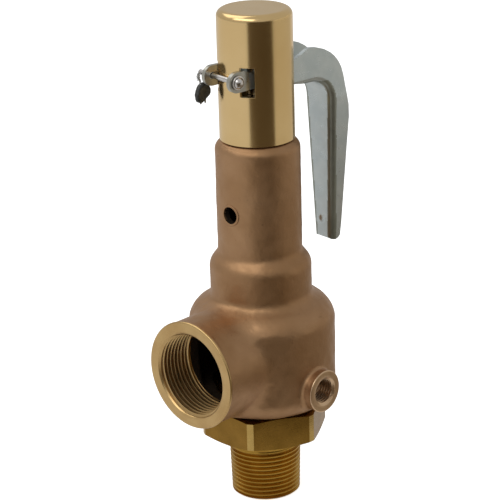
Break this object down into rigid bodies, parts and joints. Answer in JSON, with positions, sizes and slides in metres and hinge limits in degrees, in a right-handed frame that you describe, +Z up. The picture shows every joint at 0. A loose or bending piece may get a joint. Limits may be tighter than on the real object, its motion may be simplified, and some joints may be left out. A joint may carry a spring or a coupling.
{
  "type": "pressure relief valve",
  "caption": "Bronze safety relief valve: pipe-thread inlet nozzle, side outlet, spring-loaded disc, brass cap and a hand lifting lever with a lead seal.",
  "frame": {"origin": "centre of the inlet nozzle's bottom end, on the valve axis", "axes": "+Z up the valve axis from the inlet to the cap; -Y out of the side outlet; +X out of the drain boss; the lever's handle stands on the +Y side, turned 7 degrees towards +X with the cap"},
  "size_m": [0.0738, 0.0989, 0.238],
  "materials": {
    "cast_bronze": "sand-cast bronze, satin, finely pitted, brown with pink lights",
    "nozzle_brass": "machined bronze, turned, golden brown",
    "inner_brass": "machined brass",
    "cap_brass": "drawn brass, polished",
    "lever_zinc": "zinc-plated pressed steel, satin",
    "bright_steel": "bright machined steel",
    "disc_steel": "ground stainless steel",
    "spring_steel": "oil-blackened spring steel",
    "seal_wire": "annealed galvanised wire",
    "seal_lead": "pressed lead, dark and dull"
  },
  "bodies": {
    "casing": {"valve_body": "cast_bronze", "inlet_nozzle": "nozzle_brass", "regulator_ring": "inner_brass", "ring_lock_screw": "bright_steel", "ring_lock_washer": "bright_steel", "disc_guide": "inner_brass", "main_spring": "spring_steel", "upper_spring_washer": "bright_steel", "adjusting_screw": "inner_brass", "adjusting_lock_nut": "inner_brass", "cap": "cap_brass"},
    "spindle_group": {"spindle": "bright_steel", "valve_disc": "disc_steel", "disc_clip": "bright_steel", "lower_spring_washer": "bright_steel", "lift_washer": "bright_steel", "lift_nut": "bright_steel", "lift_jam_nut": "bright_steel"},
    "lever_group": {"lever": "lever_zinc", "lever_pin": "bright_steel", "pin_washer_right": "bright_steel", "pin_washer_left": "bright_steel"},
    "seal_group": {"seal_wire": "seal_wire", "lead_seal": "seal_lead"}
  },
  "joints": [
    {"name": "lever_pivot", "type": "hinge", "parent": "casing", "child": "lever_group", "pos_m": [-0.0023, -0.01876, 0.2085], "axis": [0.9925, -0.1219, 0], "range_deg": [0, 12], "stiffness_Nm_per_rad": 5.4, "springref_deg": -36.38},
    {"name": "spindle_lift", "type": "slide", "parent": "casing", "child": "spindle_group", "axis": [0, 0, 1], "range_m": [0, 0.004], "deforming": ["main_spring"]},
    {"name": "seal_swing", "type": "hinge", "parent": "lever_group", "child": "seal_group", "pos_m": [-0.01764, -0.01688, 0.2085], "axis": [0.1219, 0.9925, 0], "range_deg": [-8, 60]}
  ],
  "couplings": [
    {"joint": "spindle_lift", "follows": "lever_pivot", "m_per_rad": 0.0189}
  ]
}
